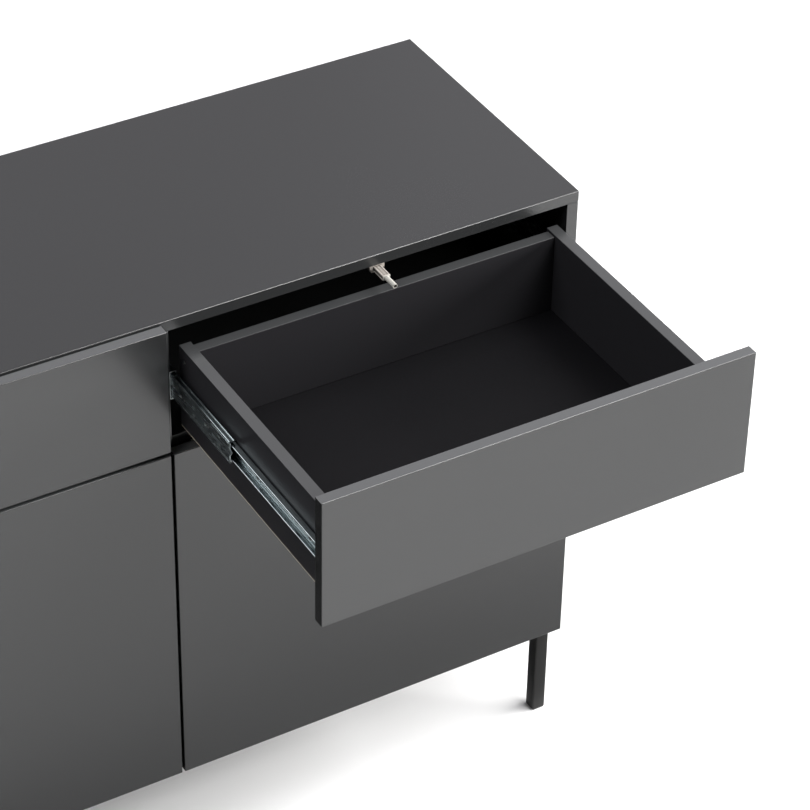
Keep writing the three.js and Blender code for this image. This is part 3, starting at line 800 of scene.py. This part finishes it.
def bent_sheet(outline, front, rear, thickness, bend, fold=0.35 * mm):
    """A sheet along y. Its section is a bent line, rounded by bend at corners and else by fold."""
    shape = bmesh.new()
    verts = [shape.verts.new((across, front, up)) for across, up in outline]
    for first, second in zip(verts, verts[1:]):
        shape.edges.new((first, second))
    corners, folds = [], []
    for before, vert, after in zip(verts, verts[1:], verts[2:]):
        turn = (vert.co - before.co).angle(after.co - vert.co)
        (corners if turn > least_corner else folds).append(vert)
    for group, radius in ((corners, bend), (folds, fold)):
        if group:
            ease(shape, group, radius, segments=4, affect="VERTICES")
    bmesh.ops.remove_doubles(shape, verts=shape.verts, dist=merge_distance)
    drawn = bmesh.ops.extrude_edge_only(shape, edges=shape.edges[:])
    moved = [v for v in drawn["geom"] if isinstance(v, bmesh.types.BMVert)]
    bmesh.ops.translate(shape, verts=moved, vec=(0.0, rear - front, 0.0))
    bmesh.ops.recalc_face_normals(shape, faces=shape.faces)
    return worked(shape, thickness=thickness)


def channel(profile, front, rear, thickness, bend):
    """A sheet channel along y. The profile is its upper half, from the web's middle to its tip."""
    outline = [(across, up) for across, up in reversed(profile)]
    outline += [(across, -up) for across, up in profile]
    return bent_sheet(outline, front, rear, thickness, bend)


def points(*pairs):
    """Points of a section in millimetres: across from the cabinet's side, up from the middle."""
    return [(across * mm, up * mm) for across, up in pairs]


cabinet_profile = points((half_sheet / mm, 20.4), (9.1, 20.4), (9.1, 17.6))
runner_profile = points((3.9, 1.9), (2.7, 3.1), (2.7, 12.4), (3.5, 12.9), (3.5, 13.9))
runner_profile += points((2.7, 14.4), (2.7, 15.9), (5.2, 15.9), (6.0, 15.0))
runner_profile += points((8.4, 15.0), (9.2, 15.9), (10.7, 15.9), (10.7, 13.8))
drawer_profile = points((11.9, 1.8), (12.8, 2.7), (12.8, 4.9), (12.0, 5.5), (12.0, 6.9))
drawer_profile += points((12.8, 7.5), (12.8, 10.4), (5.4, 10.4))
print("Points in half a section:", [len(p) for p in (runner_profile, drawer_profile)])

# %% [markdown]
# Slots and round holes are punched through the webs, for screws and to save steel. The cut
# ends take copies of the zinc of their own: much lighter on the cabinet member and the clip, a
# painted highlight, and darker on the other members, a painted shade.

# %% Punch the slots
slot_row = [(behind, 0, 5, 5) for behind in (37, 101, 165, 229, 300)]
slot_row += [(behind, 0, 9, 4.6) for behind in (14, 133, 261)]
slot_row += [(behind, 0, 12, 4.6) for behind in (69, 197, 334)]
runner_row = [(behind, 0, 16, 5) for behind in (58, 124, 222, 318)] + [(170, 0, 9, 5)]
for behind, length in ((26, 9), (92, 6), (268, 6)):
    runner_row += [(behind, -6, length, 3.4), (behind, 6, length, 3.4)]
punch_depth = 3.0 * mm


def slots_along(across, front, pattern):
    """Prisms with round ends: distance behind the front, height, length and width in mm."""
    cutters = []
    for behind, up, length, width in pattern:
        place = (across, front + behind * mm, up * mm)
        size = (punch_depth, length * mm, width * mm)
        low = [place[i] - size[i] / 2 for i in range(3)]
        high = [place[i] + size[i] / 2 for i in range(3)]
        cutter = block(low, high)
        ease(cutter, long_edges(cutter, axis=0), 0.49 * width * mm, segments=5)
        cutters.append(cutter)
    return joined(*cutters)


def cut_ends(shape):
    """Sheared ends and the ends of slots take the second material, a lighter or darker copy of the
    zinc (painted highlight or shade); the web takes the third, on the drawer member a darker copy
    (painted shade).
    """
    shape.normal_update()
    for face in shape.faces:
        if abs(face.normal.y) > 0.9:
            face.material_index = 1
        elif abs(face.normal.x) > 0.85:
            face.material_index = 2
    return shape


print("Slots in a web:", len(slot_row), "and in a runner:", len(runner_row))

# %% Make the rows of balls
ball_pitch = 9.0 * mm


def ball_rows(race, diameter, front, rear):
    """Two rows of balls, above and below the slide's middle. A race is (across, up)."""
    across, up = race
    shape = bmesh.new()
    for number in range(int((rear - front) / ball_pitch)):
        for side in (-1, 1):
            place = (across, front + (number + 0.5) * ball_pitch, side * up)
            bmesh.ops.create_icosphere(
                shape, subdivisions=2, radius=diameter / 2, matrix=Matrix.Translation(place)
            )
    return shape


print("Balls in 100 mm of slide:", 2 * int(100 * mm / ball_pitch))

# %% [markdown]
# One function dresses a whole slide. It builds every part for a slide on the left of a
# drawer, about the slide's own middle, and `seat` puts it in its place, mirrored for the right.
# The clip is the bent stop at the middle member's front end: a web with a bead, and a hook.

# %% Dress the four slides
# The profile, bend, place of the web, slots and skins of each member
members = {
    # Second skins are light or dark copies of the zinc for the cut ends; the drawer member's first
    # and third are a light and a dark copy, painted highlight and painted shade.
    "cabinet": (cabinet_profile, 1.4 * mm, half_sheet, slot_row, [zinc, sheared_zinc_painted_highlight, zinc]),
    "middle": (runner_profile, 0.9 * mm, 2.7 * mm, runner_row, [zinc, cut_zinc_painted_shade, zinc]),
    "drawer": (drawer_profile, 1 * mm, 12.3 * mm, slot_row, [zinc_painted_highlight, cut_zinc_painted_shade, web_zinc_painted_shade]),
}
rolled_lip = 2.2 * mm
outer_ball, outer_race = 3.6 * mm, (7.2 * mm, 17.6 * mm)
inner_ball, inner_race = 3.2 * mm, (8.3 * mm, 12.4 * mm)
outer_cage_profile = points((1.65, 17.6), (8.8, 17.6))
inner_cage_profile = points((3.75, 12.4), (9.4, 12.4))
cage_sheet, cage_bend, cage_inset, ball_inset = 0.45 * mm, 0.9 * mm, 8 * mm, 2 * mm
outer_cage_reach, inner_cage_reach = 150 * mm, 140 * mm
clip_line = points((3.4, 14.6), (3.4, 6.0), (5.6, -1.5), (2.8, -4.0), (3.0, -12.0), (7.2, -12.8))
clip_ahead, clip_depth, clip_sheet, clip_bend = 1.4 * mm, 5.0 * mm, 0.9 * mm, 0.9 * mm
drawer_screw_rows, drawer_screw_seat = (37, 165, 300), 10.5 * mm
cabinet_screw_rows, sunk = (37, 229), 1.25 * mm


def build_slide(column, end):
    """Dresses one slide: three channels, two ball cages, balls, an end clip and screws."""
    name = f"{column}_drawer_{end}_slide"
    nodes = {part: f"{name}_{part}_member" for part in members}
    low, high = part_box(nodes["cabinet"])
    face_x, towards = (low.x, 1.0) if end == "left" else (high.x, -1.0)
    middle_z = (low.z + high.z) / 2
    spans = {}
    for part, node in nodes.items():
        part_low, part_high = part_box(node)
        spans[part] = (part_low.y, part_high.y)

    def seat(shape):
        if towards < 0:
            bmesh.ops.scale(shape, vec=(-1.0, 1.0, 1.0), verts=shape.verts)
            bmesh.ops.reverse_faces(shape, faces=shape.faces)
        bmesh.ops.translate(shape, vec=(face_x, 0.0, middle_z), verts=shape.verts)
        return shape

    def screw_row(part, across, facing, rows):
        heads = []
        for behind in rows:
            place = Vector((face_x + towards * across, spans[part][0] + behind * mm, middle_z))
            heads.append((screw_small, place, (facing * towards, 0.0, 0.0)))
        screws(f"{name}_{part}_screws", heads, node_body[nodes[part]])

    def dress_member(part, lips=()):
        profile, bend, web, pattern, skins = members[part]
        shape = worked(
            channel(profile, *spans[part], sheet, bend), slots_along(web, spans[part][0], pattern)
        )
        shape = cut_ends(seat(joined(shape, *lips)))
        dress(f"{name}_{part}_channel", shape, skins, [nodes[part]])

    dress_member("cabinet")
    dress_member("middle")
    front, rear = spans["middle"]
    body = node_body[nodes["middle"]]
    outer = (rear - outer_cage_reach, rear - cage_inset)
    inner = (front + cage_inset, front + inner_cage_reach)
    cages = joined(
        channel(outer_cage_profile, *outer, cage_sheet, cage_bend),
        channel(inner_cage_profile, *inner, cage_sheet, cage_bend),
    )
    dress(f"{name}_ball_cages", seat(cages), nickel, body=body)
    balls = joined(
        ball_rows(outer_race, outer_ball, outer[0] + ball_inset, outer[1] - ball_inset),
        ball_rows(inner_race, inner_ball, inner[0] + ball_inset, inner[1] - ball_inset),
    )
    dress(f"{name}_balls", seat(balls), screw_steel, body=body)
    front -= clip_ahead
    clip = bent_sheet(clip_line, front, front + clip_depth, clip_sheet, clip_bend, clip_bend)
    # The clip's ends take the much lighter zinc of the cabinet member: painted highlight.
    skins = members["cabinet"][-1]
    dress(f"{name}_end_clip", cut_ends(seat(clip)), skins, body=body)

    front, rear = spans["drawer"]
    lips = []
    lip_across, lip_up = drawer_profile[-1]
    for side in (-1, 1):
        lip = drum(rolled_lip, 0.0, rear - front, segments=16)
        lips.append(placed(lip, (lip_across, rear, side * lip_up), (0.0, -1.0, 0.0)))
    dress_member("drawer", lips)
    screw_row("drawer", drawer_screw_seat, -1, drawer_screw_rows)
    screw_row("cabinet", sheet - sunk, 1, cabinet_screw_rows)


for column in columns:
    for end in columns:
        build_slide(column, end)
print("Slides dressed:", len(columns) ** 2)

# %% [markdown]
# ## Small things in the boards
# The screw that holds each drawer side to the drawer's back sits sunk in a bore, 18 mm under
# the side's top. The adjustable shelf rests on nickel pins with a collar, which stand in the
# middle holes of the drilled rows.

# %% Sink the box screws
screw_bore = screw_head_mesh(diameter=5.2 * mm, height=1.1 * mm)
bore_drop, bore_sink = 18 * mm, 2 * mm
for column in columns:
    back_low, back_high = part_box(f"{column}_drawer_back")
    heads = []
    for end, outwards in (("left", -1), ("right", 1)):
        low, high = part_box(f"{column}_drawer_{end}_side")
        face_x = low.x if outwards < 0 else high.x
        place = (face_x - outwards * bore_sink, (back_low.y + back_high.y) / 2, high.z - bore_drop)
        heads.append((screw_bore, place, (outwards, 0.0, 0.0)))
    screws(f"{column}_drawer_box_screws", heads, f"{column}_drawer")
print("Box screws in each drawer:", len(heads))

# %% Press in the shelf pins
pin_diameter, pin_tail, pin_length = 5.3 * mm, 0.2 * mm, pin_reach + 0.1 * mm
collar_diameter, collar_height = 7.6 * mm, 1.2 * mm


def shelf_pin(place, direction):
    pin = drum(pin_diameter, -pin_tail, pin_length, segments=24)
    ease(pin, flat_edges(pin, pin_length), 0.8 * mm, segments=3)
    collar = drum(collar_diameter, -pin_tail, collar_height, segments=24)
    ease(collar, flat_edges(collar, collar_height), 0.3 * mm, segments=2)
    return placed(joined(pin, collar), place, direction)


for column in columns:
    pin_z, depths = pin_places(column)
    pins = []
    for _, face_x, outwards in shelf_faces(column):
        pins += [shelf_pin((face_x, y, pin_z), (outwards, 0.0, 0.0)) for y in depths]
    name = f"{column}_shelf_pins"
    dress(name, joined(*pins), nickel, body="carcass")
print("Pins under each shelf:", len(pins))

# %% [markdown]
# ## The push latches
# A push latch is a small ratchet: pressing the front lets a plunger spring out and push it
# open. Its housing has a cross flange with two wings, its carriage is a bar with raised rails
# along the edges, and its nose is a round tube with a square hole in the tip. The CAD holds all
# of that, so the copies only get the soft edges that moulding gives. The nose is a paler
# plastic. The side grooves and the hole in the nose are painted near black, and the top and
# bottom of the carriage in the housing's darker grey: painted shade.

# %% Dress the latches
carriage_length = 48 * mm
housing_radius, plunger_radius = 0.35 * mm, 0.25 * mm
skin_depth, rail_depth = 0.5 * mm, 1.5 * mm
hole_reach, hole_lip, hole_floor = 2.3 * mm, 0.15 * mm, 7 * mm


def paint_plunger(shape, low, high):
    """Second material on the nose; third, near black, in the side grooves and the hole, painted
    shade; fourth, the housing's darker grey, on top and bottom, a lighter painted shade.
    """
    axis_x, axis_z = (low.x + high.x) / 2, (low.z + high.z) / 2
    shape.normal_update()
    for face in shape.faces:
        middle = face.calc_center_median()
        from_side = min(middle.x - low.x, high.x - middle.x)
        from_end = min(middle.z - low.z, high.z - middle.z)
        if middle.y > high.y - carriage_length + skin_depth:
            if from_side > skin_depth and from_end > skin_depth:
                # Side grooves: near black painted shade; top and bottom: the housing's grey, a
                # lighter painted shade.
                face.material_index = 2 if from_end > rail_depth else 3
            continue
        from_axis = math.hypot(middle.x - axis_x, middle.z - axis_z)
        deep = low.y + hole_lip < middle.y < low.y + hole_floor
        # The hole in the nose: near black painted shade.
        face.material_index = 2 if deep and from_axis < hole_reach else 1


def dress_latch(name):
    housing_node, plunger_node = f"{name}_housing", f"{name}_plunger"
    housing = eased_copy(housing_node, housing_radius, segments=2)
    dress(f"{name}_body", housing, latch_grey, [housing_node])
    plunger = eased_copy(plunger_node, plunger_radius, segments=2)
    paint_plunger(plunger, *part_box(plunger_node))
    plastics = [carriage_grey, nose_grey, groove_painted_shade, latch_grey]
    dress(f"{name}_carriage_and_nose", plunger, plastics, [plunger_node])


for column in columns:
    for kind in ("drawer", "door"):
        dress_latch(f"{column}_{kind}_latch")
print("Latches dressed for", columns)

# %% [markdown]
# ## The legs
# Each leg is a 20 mm square tube, welded to a plate that four screws hold under the cabinet. A
# rolled tube has rounded corners, so its four long edges are bevelled by about 2 mm. The foot
# is closed by a plastic plug with a lip, and a small fillet of weld runs round the top.

# %% Dress the legs
tube_size, tube_corner = 20 * mm, 2.2 * mm
plate_size, plate_thickness, plate_corner, plate_radius = 70 * mm, 3 * mm, 6 * mm, 0.6 * mm
weld_spread, weld_height, weld_corner, weld_radius = 1.2 * mm, 2.4 * mm, 3 * mm, 1.1 * mm
plug_height, plug_size, plug_inset = 3 * mm, 18.8 * mm, 0.6 * mm
plug_corner, plug_radius = 1.8 * mm, 0.8 * mm
plate_screws = ((10, 60), (35, 35), (60, 10), (60, 60))


def dress_leg(row, column):
    name = f"{row}_{column}_leg"
    low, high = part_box(name)
    side_x = 1 if column == "right" else -1
    side_y = -1 if row == "front" else 1
    outer = Vector((high.x if side_x > 0 else low.x, high.y if side_y > 0 else low.y, 0.0))
    inwards = Vector((-side_x, -side_y, 0.0))

    def square(size, inset, bottom, top, corner):
        near = outer + inwards * inset
        far = outer + inwards * (inset + size)
        corner_low = [min(near[i], far[i]) for i in range(2)] + [bottom]
        corner_high = [max(near[i], far[i]) for i in range(2)] + [top]
        shape = block(corner_low, corner_high)
        ease(shape, long_edges(shape, axis=2), corner, segments=5)
        return shape

    under = high.z - plate_thickness
    tube = square(tube_size, 0.0, plug_height, under, tube_corner)
    weld_bottom = under - weld_height
    weld_size = tube_size + 2 * weld_spread
    weld = square(weld_size, -weld_spread, weld_bottom, under, weld_corner)
    ease(weld, flat_edges(weld, weld_bottom), weld_radius, segments=3)
    plate = square(plate_size, 0.0, under, high.z, plate_corner)
    ease(plate, flat_edges(plate, under), plate_radius, segments=2)
    dress(f"{name}_tube_and_plate", joined(tube, plate), powder, [name])
    for vert in weld.verts:
        vert.co.x = min(max(vert.co.x, low.x), high.x)
        vert.co.y = min(max(vert.co.y, low.y), high.y)
    dress(f"{name}_weld", weld, powder, body=node_body[name])
    plug = square(plug_size, plug_inset, 0.0, 2 * plug_height, plug_corner)
    ease(plug, flat_edges(plug, 0.0), plug_radius, segments=3)
    dress(f"{name}_plug", plug, plug_black, body=node_body[name])
    heads = []
    for across, along in plate_screws:
        place = outer + Vector((inwards.x * across * mm, inwards.y * along * mm, under))
        heads.append((screw_large, place, (0.0, 0.0, -1.0)))
    screws(f"{name}_screws", heads, node_body[name])


for row in ("front", "rear"):
    for column in columns:
        dress_leg(row, column)
print("Legs dressed, with", len(plate_screws), "screws each")

# %% [markdown]
# ## The concealed hinges
# They only show with a door open: a pressed cup in the door, an arm on the side panel, and the
# link between them. The copies get rolled edges, a mounting plate with two wings, and pairs of
# screws in the cup's flange, in the plate and on the arm.

# %% Dress the hinges
pressed_radii = {"cup": 0.4 * mm, "arm": 1.0 * mm, "link": 0.4 * mm}
cup_screw_rise, wing_screw_rise = 22 * mm, 21 * mm
wing_behind, wing_thickness, wing_width, wing_height = 24 * mm, 2.4 * mm, 18 * mm, 56 * mm
wing_corner, wing_radius = 6 * mm, 0.7 * mm
arm_face_reach, arm_screw_behind, adjuster_behind = 8 * mm, 12 * mm, 42 * mm


def dress_hinge(column, level):
    name = f"{column}_door_{level}_hinge"
    side = 1 if column == "right" else -1
    for part, radius in pressed_radii.items():
        shape = eased_copy(f"{name}_{part}", radius, segments=3)
        dress(f"{name}_{part}_pressed", shape, nickel, [f"{name}_{part}"])
    cup_low, cup_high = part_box(f"{name}_cup")
    middle_x, middle_z = (cup_low.x + cup_high.x) / 2, (cup_low.z + cup_high.z) / 2
    heads = []
    for up in (-cup_screw_rise, cup_screw_rise):
        heads.append((screw_small, (middle_x, cup_high.y, middle_z + up), (0.0, 1.0, 0.0)))
    screws(f"{name}_cup_screws", heads, node_body[f"{name}_cup"])

    arm_low, arm_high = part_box(f"{name}_arm")
    panel_x = arm_high.x if side > 0 else arm_low.x
    wing_y = arm_high.y - wing_behind
    wing_x = panel_x - side * wing_thickness
    low_x, high_x = sorted((panel_x, wing_x))
    wings = block(
        (low_x, wing_y - wing_width / 2, middle_z - wing_height / 2),
        (high_x, wing_y + wing_width / 2, middle_z + wing_height / 2),
    )
    ease(wings, long_edges(wings, axis=0), wing_corner, segments=5)
    ease(wings, flat_edges(wings, wing_x, axis=0), wing_radius, segments=3)
    arm_body = node_body[f"{name}_arm"]
    dress(f"{name}_wing_plate", wings, nickel, body=arm_body)
    heads = []
    for up in (-wing_screw_rise, wing_screw_rise):
        heads.append((screw_small, (wing_x, wing_y, middle_z + up), (-side, 0.0, 0.0)))
    arm_x = panel_x - side * arm_face_reach
    for head, behind in ((screw_large, arm_screw_behind), (screw_small, adjuster_behind)):
        heads.append((head, (arm_x, arm_high.y - behind, middle_z), (-side, 0.0, 0.0)))
    screws(f"{name}_arm_screws", heads, arm_body)


for column in columns:
    for level in ("upper", "lower"):
        dress_hinge(column, level)
print("Hinges dressed for", columns)
